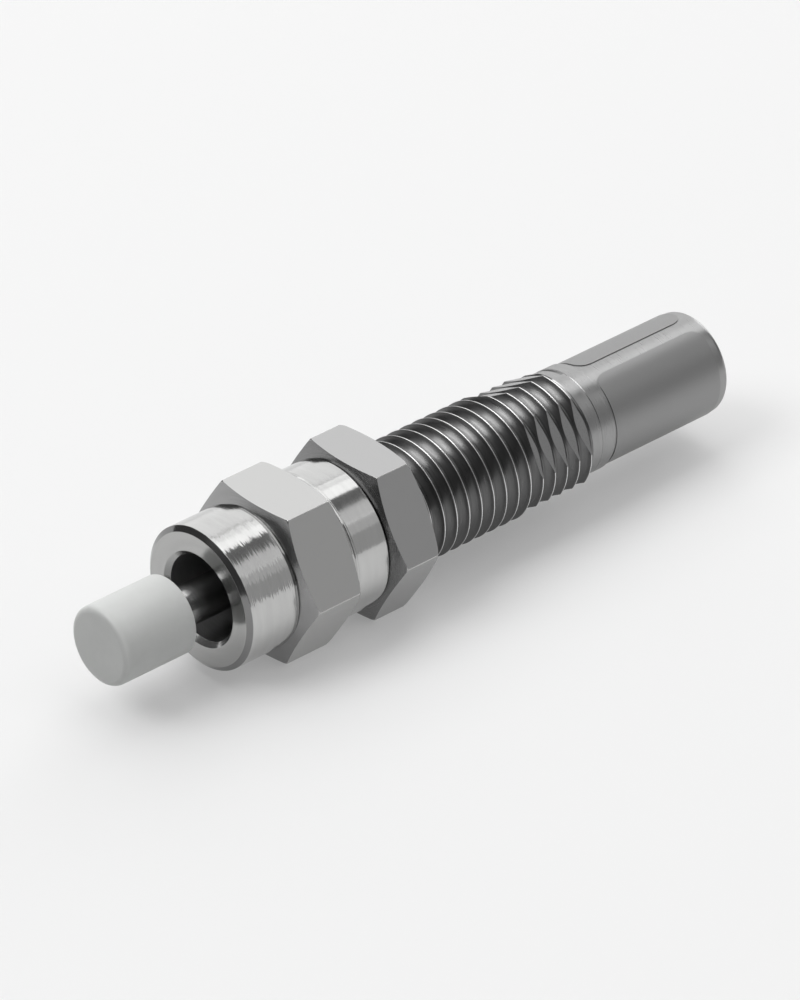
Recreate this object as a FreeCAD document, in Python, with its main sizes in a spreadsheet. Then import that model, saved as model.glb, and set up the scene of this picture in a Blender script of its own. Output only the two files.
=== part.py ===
import FreeCAD, Part
import math
import operator
import os

import Sketcher

# A small hydraulic shock absorber. The +X axis runs from the buffer to the rear end, +Z is the normal
# of one hexagon flat, and the origin is on the axis in the lock nut's rear clamping face.

# Driving dimensions in millimetres, with angles in degrees: name, value, what it is.
DIMENSIONS = [
    ("across_flats", 10.0, "wrench size of the sleeve and of the lock nut"),
    ("corner_angle", 20.7, "angle of the cones that break the hexagon corners"),
    ("nut_front_face", 9.0, "diameter where the nut's front corner cone starts"),
    ("nut_rear_face", 9.5, "diameter where the nut's rear corner cone starts"),
    ("nut_width", 3.3, "lock nut, face to face"),
    ("nut_gap", 0.02, "between the lock nut and the sleeve"),
    ("thread_diameter", 7.9, "crest diameter of the fine thread"),
    ("thread_pitch", 1.0, "from one crest to the next"),
    ("thread_depth_share", 0.55, "depth of the thread's groove as a share of the pitch"),
    ("thread_floor_share", 0.16, "floor of the thread's groove as a share of the pitch"),
    ("thread_flank_angle", 30.0, "lean of the groove's flanks"),
    ("thread_lead", 0.646, "where the groove passes the top in front of the housing"),
    ("thread_play", 0.05, "radial, internal thread stand-in over the crests"),
    ("thread_mouth", 0.25, "chamfer where an internal thread opens"),
    ("stop_collar_diameter", 9.1, "front collar of the sleeve"),
    ("stop_collar_length", 3.85, "front collar of the sleeve"),
    ("stop_edge_depth", 0.33, "radial, chamfer round the stop face"),
    ("stop_edge_length", 0.25, "axial, chamfer round the stop face"),
    ("neck_groove_width", 0.16, "groove between front collar and hexagon"),
    ("neck_groove_depth", 0.1, "groove between front collar and hexagon"),
    ("hexagon_length", 4.1, "hexagon of the sleeve"),
    ("clamp_collar_diameter", 9.5, "rear collar of the sleeve"),
    ("clamp_collar_length", 2.85, "rear collar of the sleeve"),
    ("clamp_edge", 0.12, "chamfer round the rear collar"),
    ("sleeve_bore", 5.5, "bore that the buffer enters"),
    ("bore_mouth", 0.3, "chamfer at the mouth of that bore"),
    ("sleeve_overlap", 5.0, "thread length that the sleeve holds at rest"),
    ("sleeve_reserve", 0.9, "free thread in the sleeve in front of the housing"),
    ("buffer_diameter", 5.0, "plastic buffer"),
    ("buffer_length", 5.3, "plastic buffer"),
    ("buffer_round", 0.5, "edge radius of the buffer's front"),
    ("buffer_socket", 3.6, "depth of the rod's hole in the buffer"),
    ("buffer_stand_off", 8.1, "buffer to housing with the rod out"),
    ("rod_diameter", 2.5, "piston rod"),
    ("rod_tip_chamfer", 0.3, "front end of the rod"),
    ("rod_play", 0.02, "radial, rod in bearing, seal and wiper"),
    ("socket_play", 0.01, "radial, rod in the buffer"),
    ("body_length", 34.35, "housing from end to end"),
    ("thread_lead_in", 0.45, "chamfer at the housing's front end"),
    ("thread_end", 22.25, "end of the full thread from the housing's front"),
    ("thread_run_out", 0.3, "cone from the crests down to the neck"),
    ("neck_diameter", 6.9, "plain neck behind the thread"),
    ("neck_end", 24.5, "end of the neck from the housing's front"),
    ("neck_step", 0.1, "chamfer from the neck to the rear barrel"),
    ("rear_diameter", 6.64, "smooth rear barrel"),
    ("rear_round", 0.4, "edge radius of the rear end"),
    ("wrench_flat_width", 7.0, "across the housing's wrench flats"),
    ("wrench_flat_start", 17.5, "start of those flats from the housing's front"),
    ("wrench_flat_turn", 60.0, "turn of those flats from the hexagon's"),
    ("housing_bore", 5.8, "bore of the housing"),
    ("housing_mouth", 0.15, "chamfer at the bore's mouth"),
    ("rear_wall", 1.15, "closed rear end of the housing"),
    ("seat_play", 0.02, "radial, pieces seated in the housing bore"),
    ("label_thickness", 0.05, "wrapped foil"),
    ("label_margin", 0.82, "bare metal between foil and rear end"),
    ("label_inset", 0.28, "bare metal between neck and foil"),
    ("label_wrap", 342.0, "angle that the foil covers"),
    ("label_turn", 18.4, "turn of the foil's first edge from the top"),
    ("label_corner", 0.35, "corner radius of the foil"),
    ("ring_groove_inset", 0.5, "snap ring groove from the housing's front"),
    ("ring_thickness", 0.4, "snap ring"),
    ("ring_groove_depth", 0.25, "snap ring groove below the bore"),
    ("ring_width", 0.62, "snap ring, radial"),
    ("ring_gap", 60.0, "opening angle of the snap ring"),
    ("front_washer_thickness", 0.5, "washer behind the snap ring"),
    ("front_washer_hole", 3.1, "washer behind the snap ring"),
    ("wiper_length", 1.0, "rod wiper"),
    ("wiper_lip", 0.25, "how far the wiper's lip leans forward"),
    ("seal_length", 1.8, "rod seal"),
    ("seal_notch", 0.8, "depth of the seal's notch"),
    ("seal_washer_thickness", 0.3, "support ring behind the seal"),
    ("bearing_head", 3.4, "bearing, the part that fills the bore"),
    ("bearing_shank", 3.1, "bearing, the slim part inside the foam"),
    ("shank_diameter", 3.5, "bearing, the slim part inside the foam"),
    ("bearing_flange", 0.5, "bearing, the flange that the tube seats on"),
    ("bearing_spigot", 0.5, "bearing, the part inside the tube"),
    ("o_ring_cord", 0.7, "section of the bearing's static seal"),
    ("o_ring_squeeze", 0.06, "radial room left beside that seal"),
    ("foam_play", 0.05, "between the foam and its neighbours"),
    ("tube_outside", 5.2, "pressure tube"),
    ("tube_inside", 4.4, "pressure tube"),
    ("orifice_diameter", 0.45, "metering holes"),
    ("orifice_first", 4.4, "first metering hole from the tube's front"),
    ("orifice_step", 1.95, "distance to the next metering hole"),
    ("orifice_ratio", 0.78, "each distance as a share of the one before"),
    ("port_diameter", 0.6, "return ports near the tube's front"),
    ("port_inset", 0.9, "return ports from the tube's front"),
    ("rest_gap", 0.35, "between piston set and bearing with the rod out"),
    ("journal_diameter", 1.6, "slim rear end of the rod"),
    ("journal_length", 3.45, "slim rear end of the rod"),
    ("journal_play", 0.02, "radial, pieces on that journal"),
    ("disc_thickness", 0.3, "check disc"),
    ("disc_diameter", 3.8, "check disc"),
    ("disc_lift", 0.05, "room for the check disc to lift"),
    ("piston_length", 2.1, "piston"),
    ("piston_play", 0.03, "radial, piston in the tube"),
    ("piston_groove_width", 0.6, "groove of the piston ring"),
    ("piston_groove_depth", 0.32, "groove of the piston ring"),
    ("piston_ring_play", 0.015, "around the piston ring"),
    ("piston_ring_gap", 12.0, "opening angle of the piston ring"),
    ("flow_hole_diameter", 0.5, "flow holes through the piston"),
    ("flow_hole_circle", 2.7, "circle of the flow holes"),
    ("washer_thickness", 0.3, "thrust washer behind the piston"),
    ("washer_diameter", 3.8, "thrust washer behind the piston"),
    ("clip_thickness", 0.28, "clip at the rod's rear end"),
    ("clip_diameter", 2.5, "clip at the rod's rear end"),
    ("clip_groove_depth", 0.2, "groove of that clip"),
    ("clip_gap", 70.0, "opening angle of that clip"),
    ("clip_play", 0.02, "around the clip"),
    ("spring_wire", 0.45, "return spring wire"),
    ("spring_mean_diameter", 3.2, "return spring"),
    ("spring_turns", 9.0, "return spring"),
    ("spring_play", 0.05, "at each end of the return spring"),
    ("seat_thickness", 0.3, "washer under the spring's rear end"),
    ("seat_hole", 2.0, "washer under the spring's rear end"),
    ("cap_spigot", 0.5, "tube end cap, the part inside the tube"),
    ("cap_disc", 1.6, "tube end cap, the part behind the tube"),
    ("cap_hole", 1.0, "oil way through the tube end cap"),
    ("ball_diameter", 1.0, "ball in the filling hole"),
    ("ball_play", 0.01, "radial, ball in its hole"),
    ("ball_inset", 0.05, "ball below the rear face"),
    ("ball_hole_chamfer", 0.15, "mouth of the filling hole"),
]

ORIFICE_COUNT = 6
FLOW_HOLE_COUNT = 4
HEXAGON_SIDES = 6
WRENCH_FLAT_SIDES = 4

OPERATIONS = {"+": operator.add, "-": operator.sub, "*": operator.mul, "/": operator.truediv, "^": operator.pow}


class Size:
    """A number together with the expression that gives it."""

    def __init__(self, value, text):
        self.value = value
        self.text = text

    def __add__(self, other):
        return combine(self, "+", other)

    def __sub__(self, other):
        return combine(self, "-", other)

    def __mul__(self, other):
        return combine(self, "*", other)

    def __truediv__(self, other):
        return combine(self, "/", other)

    def __pow__(self, other):
        return combine(self, "^", other)


def as_size(number):
    if isinstance(number, Size):
        return number
    return Size(float(number), repr(number))


def combine(left, sign, right):
    left = as_size(left)
    right = as_size(right)
    value = OPERATIONS[sign](left.value, right.value)
    return Size(value, f"({left.text} {sign} {right.text})")


def tangent(angle):
    return Size(math.tan(math.radians(angle.value)), f"tan({angle.text} * 1 deg)")


def circumradius(across, sides):
    """Corner radius of a regular polygon from its width across flats."""
    half_angle = 180 / sides
    return Size(across.value / 2 / math.cos(math.radians(half_angle)), f"({across.text} / 2 / cos({half_angle} deg))")


NONE = as_size(0)

doc = FreeCAD.newDocument("shock_absorber")
sheet = doc.addObject("Spreadsheet::Sheet", "dims")


class Dimensions:
    """The sheet's cells by name."""


dim = Dimensions()
for row, (alias, number, note) in enumerate(DIMENSIONS, start=1):
    sheet.set(f"A{row}", note)
    sheet.set(f"B{row}", str(number))
    sheet.setAlias(f"B{row}", alias)
    setattr(dim, alias, Size(number, f"dims.{alias}"))
doc.recompute()

# Stations along the axis, from the lock nut's rear face.
nut_front = NONE - dim.nut_width
sleeve_rear = nut_front - dim.nut_gap
sleeve_length = dim.stop_collar_length + dim.hexagon_length + dim.clamp_collar_length
stop_face = sleeve_rear - sleeve_length
housing_front = nut_front - dim.sleeve_overlap
buffer_rear = housing_front - dim.buffer_stand_off
buffer_front = buffer_rear - dim.buffer_length
rod_tip = buffer_rear - dim.buffer_socket

# The stack inside the housing, front to rear.
ring_front = housing_front + dim.ring_groove_inset
front_washer_front = ring_front + dim.ring_thickness
wiper_front = front_washer_front + dim.front_washer_thickness
seal_front = wiper_front + dim.wiper_length
seal_washer_front = seal_front + dim.seal_length
bearing_front = seal_washer_front + dim.seal_washer_thickness
shank_start = dim.bearing_head
flange_start = shank_start + dim.bearing_shank
spigot_start = flange_start + dim.bearing_flange
bearing_length = spigot_start + dim.bearing_spigot
tube_front = bearing_front + spigot_start
bore_end = housing_front + dim.body_length - dim.rear_wall
tube_rear = bore_end - dim.cap_disc
tube_length = tube_rear - tube_front
cap_front = tube_rear - dim.cap_spigot
seat_front = cap_front - dim.seat_thickness

# The set on the rod's journal, front to rear.
disc_front = bearing_front + bearing_length + dim.rest_gap
piston_front = disc_front + dim.disc_thickness + dim.disc_lift
washer_front = piston_front + dim.piston_length
clip_front = washer_front + dim.washer_thickness + dim.clip_play
washer_rear = washer_front + dim.washer_thickness

# Radii that several pieces share.
thread_radius = dim.thread_diameter / 2
thread_bore_radius = thread_radius + dim.thread_play
seated_radius = dim.housing_bore / 2 - dim.seat_play
rod_radius = dim.rod_diameter / 2
rod_hole_radius = rod_radius + dim.rod_play
tube_bore_radius = dim.tube_inside / 2
journal_radius = dim.journal_diameter / 2
journal_hole_radius = journal_radius + dim.journal_play
hexagon_radius = circumradius(dim.across_flats, HEXAGON_SIDES)

pieces = []


def register(piece, station):
    """Put a finished sub-part at its place on the axis."""
    piece.setExpression("Placement.Base.x", station.text)
    pieces.append(piece)


def new_body(label):
    return doc.addObject("PartDesign::Body", label)


def origin_plane(body, role):
    return next(feature for feature in body.Origin.OriginFeatures if feature.Role == role)


def new_sketch(body, name, role):
    sketch = body.newObject("Sketcher::SketchObject", name)
    sketch.AttachmentSupport = [(origin_plane(body, role), "")]
    sketch.MapMode = "FlatFace"
    return sketch


def bind(sketch, constraint, name, size):
    index = sketch.addConstraint(constraint)
    sketch.renameConstraint(index, name)
    sketch.setExpression(f"Constraints.{name}", size.text)


def hold_corner(sketch, line, along, out):
    """Fix the start of a line at its distance along the axis and out from it."""
    if along is NONE:
        sketch.addConstraint(Sketcher.Constraint("PointOnObject", line, 1, -2))
    else:
        rule = Sketcher.Constraint("DistanceX", -1, 1, line, 1, along.value)
        bind(sketch, rule, f"along_{line}", along)
    if out is NONE:
        sketch.addConstraint(Sketcher.Constraint("PointOnObject", line, 1, -1))
    else:
        rule = Sketcher.Constraint("DistanceY", -1, 1, line, 1, out.value)
        bind(sketch, rule, f"out_{line}", out)


def outline(body, name, corners):
    """A closed outline in the plane of the axis, from its corners as (along, out)."""
    sketch = new_sketch(body, name, "XZ_Plane")
    points = [FreeCAD.Vector(along.value, out.value, 0) for along, out in corners]
    count = len(corners)
    for i in range(count):
        sketch.addGeometry(Part.LineSegment(points[i], points[(i + 1) % count]), False)
    for i in range(count):
        sketch.addConstraint(Sketcher.Constraint("Coincident", i, 2, (i + 1) % count, 1))
    for i, (along, out) in enumerate(corners):
        hold_corner(sketch, i, along, out)
    return sketch


def turned(label, corners, sweep=None):
    """A body turned about the axis from its half section, or over part of a turn."""
    body = new_body(label)
    sketch = outline(body, f"{label}_section", corners)
    turn = body.newObject("PartDesign::Revolution", f"{label}_turn")
    turn.Profile = sketch
    turn.ReferenceAxis = (sketch, ["H_Axis"])
    turn.Angle = 360
    if sweep:
        turn.setExpression("Angle", sweep.text)
    sketch.Visibility = False
    return body


def ring(label, length, inner, outer, sweep=None):
    """A plain ring, split where a sweep is given."""
    return turned(label, [(NONE, inner), (NONE, outer), (length, outer), (length, inner)], sweep)


def circle_edges(shape, radius, along):
    """Names of the full circles of one radius at one distance along the axis."""
    names = []
    for i, edge in enumerate(shape.Edges, start=1):
        curve = edge.Curve
        if not isinstance(curve, Part.Circle):
            continue
        if math.isclose(curve.Radius, radius, abs_tol=1e-6) and math.isclose(curve.Center.x, along, abs_tol=1e-6):
            names.append(f"Edge{i}")
    return names


def round_edge(body, name, radius, along, fillet_radius):
    """Round the circular edges of one radius at one distance along the axis."""
    doc.recompute()
    base = body.Tip
    fillet = body.newObject("PartDesign::Fillet", name)
    fillet.Base = (base, circle_edges(base.Shape, radius.value, along.value))
    fillet.setExpression("Radius", fillet_radius.text)
    body.Tip = fillet


def polygon(sketch, sides, corner_radius):
    """A regular polygon with its first side level above the centre."""
    first = 90 - 180 / sides
    turns = [math.radians(first + 360 * i / sides) for i in range(sides)]
    radius = corner_radius.value
    points = [FreeCAD.Vector(radius * math.cos(t), radius * math.sin(t), 0) for t in turns]
    for i in range(sides):
        sketch.addGeometry(Part.LineSegment(points[i], points[(i + 1) % sides]), False)
    centre = FreeCAD.Vector(0, 0, 0)
    upward = FreeCAD.Vector(0, 0, 1)
    guide = sketch.addGeometry(Part.Circle(centre, upward, radius), True)
    sketch.addConstraint(Sketcher.Constraint("Coincident", guide, 3, -1, 1))
    bind(sketch, Sketcher.Constraint("Radius", guide, radius), "corner_radius", corner_radius)
    for i in range(sides):
        sketch.addConstraint(Sketcher.Constraint("Coincident", i, 2, (i + 1) % sides, 1))
        sketch.addConstraint(Sketcher.Constraint("PointOnObject", i, 1, guide))
    for i in range(1, sides):
        sketch.addConstraint(Sketcher.Constraint("Equal", 0, i))
    sketch.addConstraint(Sketcher.Constraint("Horizontal", 0))


def cut_flats(body, name, sides, across, clear_radius, start, length, turn=None):
    """Cut flats round a turned body, from one station over a length."""
    sketch = new_sketch(body, f"{name}_section", "YZ_Plane")
    polygon(sketch, sides, circumradius(across, sides))
    centre = FreeCAD.Vector(0, 0, 0)
    upward = FreeCAD.Vector(0, 0, 1)
    rim = sketch.addGeometry(Part.Circle(centre, upward, clear_radius.value), False)
    sketch.addConstraint(Sketcher.Constraint("Coincident", rim, 3, -1, 1))
    bind(sketch, Sketcher.Constraint("Radius", rim, clear_radius.value), "clear_radius", clear_radius)
    sketch.setExpression("AttachmentOffset.Base.z", start.text)
    if turn:
        sketch.setExpression("AttachmentOffset.Rotation.Angle", turn.text)
    pocket = body.newObject("PartDesign::Pocket", name)
    pocket.Profile = sketch
    pocket.Reversed = True
    pocket.setExpression("Length", length.text)
    body.Tip = pocket


def cut_thread(body, start, end):
    """Cut a right-hand screw thread into a turned body, from the groove's middle at the top to its end."""
    root = thread_radius - dim.thread_pitch * dim.thread_depth_share
    floor = dim.thread_pitch * dim.thread_floor_share / 2
    # The section stands out to the nut's bore, clear of the crests.
    mouth = floor + (thread_bore_radius - root) * tangent(dim.thread_flank_angle)
    sketch = outline(body, "thread_section", [
        (start - floor, root),
        (start - mouth, thread_bore_radius),
        (start + mouth, thread_bore_radius),
        (start + floor, root),
    ])
    groove = body.newObject("PartDesign::SubtractiveHelix", "thread_groove")
    groove.Profile = sketch
    groove.ReferenceAxis = (sketch, ["H_Axis"])
    groove.Mode = "pitch-turns-angle"
    groove.setExpression("Pitch", dim.thread_pitch.text)
    groove.setExpression("Turns", ((end - start) / dim.thread_pitch).text)
    body.Tip = groove


def corner_cone(face_radius):
    """Length along the axis of a corner cone that starts at this radius."""
    return (hexagon_radius - face_radius) * tangent(dim.corner_angle)


def build_stop_sleeve():
    collar = dim.stop_collar_diameter / 2
    groove = collar - dim.neck_groove_depth
    clamp = dim.clamp_collar_diameter / 2
    mouth = dim.sleeve_bore / 2 + dim.bore_mouth
    hexagon_start = dim.stop_collar_length
    hexagon_end = hexagon_start + dim.hexagon_length
    thread_start = sleeve_length - dim.sleeve_overlap - dim.sleeve_reserve
    body = turned("stop_sleeve", [
        (NONE, mouth),
        (NONE, collar - dim.stop_edge_depth),
        (dim.stop_edge_length, collar),
        (hexagon_start - dim.neck_groove_width, collar),
        (hexagon_start - dim.neck_groove_width, groove),
        (hexagon_start, groove),
        (hexagon_start + corner_cone(groove), hexagon_radius),
        (hexagon_end - corner_cone(clamp), hexagon_radius),
        (hexagon_end, clamp),
        (sleeve_length - dim.clamp_edge, clamp),
        (sleeve_length, clamp - dim.clamp_edge),
        (sleeve_length, thread_bore_radius + dim.thread_mouth),
        (sleeve_length - dim.thread_mouth, thread_bore_radius),
        (thread_start, thread_bore_radius),
        (thread_start, dim.sleeve_bore / 2),
        (dim.bore_mouth, dim.sleeve_bore / 2),
    ])
    cut_flats(body, "sleeve_hexagon", HEXAGON_SIDES, dim.across_flats, hexagon_radius * 2, hexagon_start, dim.hexagon_length)
    register(body, stop_face)


def build_lock_nut():
    front_face = dim.nut_front_face / 2
    rear_face = dim.nut_rear_face / 2
    body = turned("lock_nut", [
        (NONE, thread_bore_radius + dim.thread_mouth),
        (NONE, front_face),
        (corner_cone(front_face), hexagon_radius),
        (dim.nut_width - corner_cone(rear_face), hexagon_radius),
        (dim.nut_width, rear_face),
        (dim.nut_width, thread_bore_radius + dim.thread_mouth),
        (dim.nut_width - dim.thread_mouth, thread_bore_radius),
        (dim.thread_mouth, thread_bore_radius),
    ])
    cut_flats(body, "nut_hexagon", HEXAGON_SIDES, dim.across_flats, hexagon_radius * 2, NONE, dim.nut_width)
    register(body, nut_front)


def build_housing():
    bore = dim.housing_bore / 2
    neck = dim.neck_diameter / 2
    rear = dim.rear_diameter / 2
    ball_hole = dim.ball_diameter / 2 + dim.ball_play
    inner_end = dim.body_length - dim.rear_wall
    groove_front = dim.ring_groove_inset - dim.seat_play
    groove_rear = dim.ring_groove_inset + dim.ring_thickness
    groove = bore + dim.ring_groove_depth
    body = turned("housing", [
        (NONE, bore + dim.housing_mouth),
        (NONE, thread_radius - dim.thread_lead_in),
        (dim.thread_lead_in, thread_radius),
        (dim.thread_end, thread_radius),
        (dim.thread_end + dim.thread_run_out, neck),
        (dim.neck_end, neck),
        (dim.neck_end + dim.neck_step, rear),
        (dim.body_length, rear),
        (dim.body_length, ball_hole + dim.ball_hole_chamfer),
        (dim.body_length - dim.ball_hole_chamfer, ball_hole),
        (inner_end, ball_hole),
        (inner_end, bore),
        (groove_rear, bore),
        (groove_rear, groove),
        (groove_front, groove),
        (groove_front, bore),
        (dim.housing_mouth, bore),
    ])
    round_edge(body, "rear_edge", rear, dim.body_length, dim.rear_round)
    run_out_end = dim.thread_end + dim.thread_run_out
    cut_flats(body, "wrench_flats", WRENCH_FLAT_SIDES, dim.wrench_flat_width, thread_radius * 2,
              dim.wrench_flat_start, run_out_end - dim.wrench_flat_start, dim.wrench_flat_turn)
    cut_thread(body, NONE - dim.thread_lead, run_out_end)
    register(body, housing_front)


def build_rear_label():
    inner = dim.rear_diameter / 2
    outer = inner + dim.label_thickness
    start = dim.neck_end + dim.label_inset
    length = dim.body_length - dim.label_margin - start
    body = ring("rear_label", length, inner, outer, dim.label_wrap)
    doc.recompute()
    foil = body.Tip
    short_edges = [
        f"Edge{i}" for i, edge in enumerate(foil.Shape.Edges, start=1)
        if math.isclose(edge.Length, dim.label_thickness.value, abs_tol=1e-6)
    ]
    corners = body.newObject("PartDesign::Fillet", "label_corners")
    corners.Base = (foil, short_edges)
    corners.setExpression("Radius", dim.label_corner.text)
    body.Tip = corners
    body.Placement.Rotation = FreeCAD.Rotation(FreeCAD.Vector(1, 0, 0), 0)
    body.setExpression("Placement.Rotation.Angle", dim.label_turn.text)
    register(body, housing_front + start)


def build_buffer():
    outer = dim.buffer_diameter / 2
    hole = rod_radius + dim.socket_play
    floor = dim.buffer_length - dim.buffer_socket
    body = turned("buffer", [
        (NONE, NONE),
        (NONE, outer),
        (dim.buffer_length, outer),
        (dim.buffer_length, hole),
        (floor, hole),
        (floor, NONE),
    ])
    round_edge(body, "front_edge", outer, NONE, dim.buffer_round)
    register(body, buffer_front)


def build_piston_rod():
    shoulder = disc_front - rod_tip
    end = shoulder + dim.journal_length
    groove_front = clip_front - rod_tip - dim.clip_play
    groove_rear = groove_front + dim.clip_thickness + dim.clip_play * 2
    groove = journal_radius - dim.clip_groove_depth
    body = turned("piston_rod", [
        (NONE, NONE),
        (NONE, rod_radius - dim.rod_tip_chamfer),
        (dim.rod_tip_chamfer, rod_radius),
        (shoulder, rod_radius),
        (shoulder, journal_radius),
        (groove_front, journal_radius),
        (groove_front, groove),
        (groove_rear, groove),
        (groove_rear, journal_radius),
        (end, journal_radius),
        (end, NONE),
    ])
    register(body, rod_tip)


def build_front_seals():
    bore = dim.housing_bore / 2
    spread = bore + dim.ring_groove_depth - dim.seat_play
    register(ring("retaining_ring", dim.ring_thickness - dim.seat_play, spread - dim.ring_width, spread,
                  as_size(360) - dim.ring_gap), ring_front)
    register(ring("front_washer", dim.front_washer_thickness, dim.front_washer_hole / 2, seated_radius),
             front_washer_front)
    middle = (rod_hole_radius + seated_radius) / 2
    wiper = turned("rod_wiper", [
        (NONE, rod_hole_radius),
        (dim.wiper_lip, middle),
        (dim.wiper_lip, seated_radius),
        (dim.wiper_length, seated_radius),
        (dim.wiper_length, middle),
        (dim.wiper_lip * 2, rod_hole_radius),
    ])
    register(wiper, wiper_front)
    seal = turned("rod_seal", [
        (NONE, rod_hole_radius),
        (NONE, seated_radius),
        (dim.seal_length, seated_radius),
        (dim.seal_length - dim.seal_notch, middle),
        (dim.seal_length, rod_hole_radius),
    ])
    register(seal, seal_front)
    register(ring("seal_washer", dim.seal_washer_thickness, rod_hole_radius, seated_radius), seal_washer_front)


def build_bearing():
    shank = dim.shank_diameter / 2
    flange = dim.tube_outside / 2
    spigot = tube_bore_radius - dim.seat_play
    groove_width = dim.o_ring_cord + dim.o_ring_squeeze * 2
    groove_front = (dim.bearing_head - groove_width) / 2
    groove_rear = groove_front + groove_width
    groove = dim.housing_bore / 2 - dim.o_ring_cord - dim.o_ring_squeeze * 2
    body = turned("rod_bearing", [
        (NONE, rod_hole_radius),
        (NONE, seated_radius),
        (groove_front, seated_radius),
        (groove_front, groove),
        (groove_rear, groove),
        (groove_rear, seated_radius),
        (shank_start, seated_radius),
        (shank_start, shank),
        (flange_start, shank),
        (flange_start, flange),
        (spigot_start, flange),
        (spigot_start, spigot),
        (bearing_length, spigot),
        (bearing_length, rod_hole_radius),
    ])
    register(body, bearing_front)
    seal = doc.addObject("Part::Torus", "bearing_o_ring")
    seal_radius = dim.o_ring_cord / 2
    seal.setExpression("Radius1", (groove + dim.o_ring_squeeze + seal_radius).text)
    seal.setExpression("Radius2", seal_radius.text)
    seal.Placement.Rotation = FreeCAD.Rotation(FreeCAD.Vector(0, 1, 0), 90)
    register(seal, bearing_front + dim.bearing_head / 2)
    foam = ring("accumulator_foam", dim.bearing_shank - dim.foam_play * 2, shank + dim.foam_play,
                seated_radius - dim.foam_play)
    register(foam, bearing_front + shank_start + dim.foam_play)


def bore_row(body, name, circles, both_sides):
    """Cut round holes across the axis, from their places along it and their radius."""
    sketch = new_sketch(body, f"{name}_section", "XY_Plane")
    for i, (along, radius) in enumerate(circles):
        centre = FreeCAD.Vector(along.value, 0, 0)
        upward = FreeCAD.Vector(0, 0, 1)
        sketch.addGeometry(Part.Circle(centre, upward, radius.value), False)
        sketch.addConstraint(Sketcher.Constraint("PointOnObject", i, 3, -1))
        bind(sketch, Sketcher.Constraint("DistanceX", -1, 1, i, 3, along.value), f"along_{i}", along)
        bind(sketch, Sketcher.Constraint("Radius", i, radius.value), f"radius_{i}", radius)
    pocket = body.newObject("PartDesign::Pocket", name)
    pocket.Profile = sketch
    if both_sides:
        pocket.Midplane = True
        pocket.setExpression("Length", (dim.tube_outside * 2).text)
    else:
        pocket.Reversed = True
        pocket.setExpression("Length", dim.tube_outside.text)
    body.Tip = pocket


def build_pressure_tube():
    body = ring("pressure_tube", tube_length, tube_bore_radius, dim.tube_outside / 2)
    orifices = []
    along = dim.orifice_first
    step = dim.orifice_step
    for _ in range(ORIFICE_COUNT):
        orifices.append((along, dim.orifice_diameter / 2))
        along = along + step
        step = step * dim.orifice_ratio
    bore_row(body, "metering_holes", orifices, False)
    bore_row(body, "return_ports", [(dim.port_inset, dim.port_diameter / 2)], True)
    register(body, tube_front)


def build_tube_end():
    spigot = tube_bore_radius - dim.seat_play
    cap_length = bore_end - cap_front
    body = turned("tube_end_cap", [
        (NONE, dim.cap_hole / 2),
        (NONE, spigot),
        (dim.cap_spigot, spigot),
        (dim.cap_spigot, seated_radius),
        (cap_length, seated_radius),
        (cap_length, dim.cap_hole / 2),
    ])
    register(body, cap_front)
    register(ring("spring_seat", dim.seat_thickness, dim.seat_hole / 2, spigot), seat_front)
    ball = doc.addObject("Part::Sphere", "fill_ball")
    ball.setExpression("Radius", (dim.ball_diameter / 2).text)
    register(ball, housing_front + dim.body_length - dim.ball_inset - dim.ball_diameter / 2)


def build_piston_set():
    outer = tube_bore_radius - dim.piston_play
    groove = outer - dim.piston_groove_depth
    groove_front = (dim.piston_length - dim.piston_groove_width) / 2
    groove_rear = groove_front + dim.piston_groove_width
    register(ring("check_disc", dim.disc_thickness, journal_hole_radius, dim.disc_diameter / 2), disc_front)
    body = turned("piston", [
        (NONE, journal_hole_radius),
        (NONE, outer),
        (groove_front, outer),
        (groove_front, groove),
        (groove_rear, groove),
        (groove_rear, outer),
        (dim.piston_length, outer),
        (dim.piston_length, journal_hole_radius),
    ])
    sketch = new_sketch(body, "flow_hole_section", "YZ_Plane")
    across = dim.flow_hole_circle / 2
    centre = FreeCAD.Vector(across.value, 0, 0)
    sketch.addGeometry(Part.Circle(centre, FreeCAD.Vector(0, 0, 1), dim.flow_hole_diameter.value / 2), False)
    sketch.addConstraint(Sketcher.Constraint("PointOnObject", 0, 3, -1))
    bind(sketch, Sketcher.Constraint("DistanceX", -1, 1, 0, 3, across.value), "across", across)
    radius = dim.flow_hole_diameter / 2
    bind(sketch, Sketcher.Constraint("Radius", 0, radius.value), "hole_radius", radius)
    hole = body.newObject("PartDesign::Pocket", "flow_hole")
    hole.Profile = sketch
    hole.Reversed = True
    hole.setExpression("Length", dim.piston_length.text)
    doc.recompute()
    holes = body.newObject("PartDesign::PolarPattern", "flow_holes")
    holes.Originals = [hole]
    holes.Axis = (sketch, ["N_Axis"])
    holes.Angle = 360
    holes.Occurrences = FLOW_HOLE_COUNT
    body.Tip = holes
    register(body, piston_front)
    register(ring("piston_ring", dim.piston_groove_width - dim.piston_ring_play * 2, groove + dim.piston_ring_play,
                  tube_bore_radius - dim.piston_ring_play, as_size(360) - dim.piston_ring_gap),
             piston_front + groove_front + dim.piston_ring_play)
    register(ring("piston_washer", dim.washer_thickness, journal_hole_radius, dim.washer_diameter / 2),
             washer_front)
    clip_hole = journal_radius - dim.clip_groove_depth + dim.clip_play
    register(ring("retaining_clip", dim.clip_thickness, clip_hole, dim.clip_diameter / 2,
                  as_size(360) - dim.clip_gap), clip_front)


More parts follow.
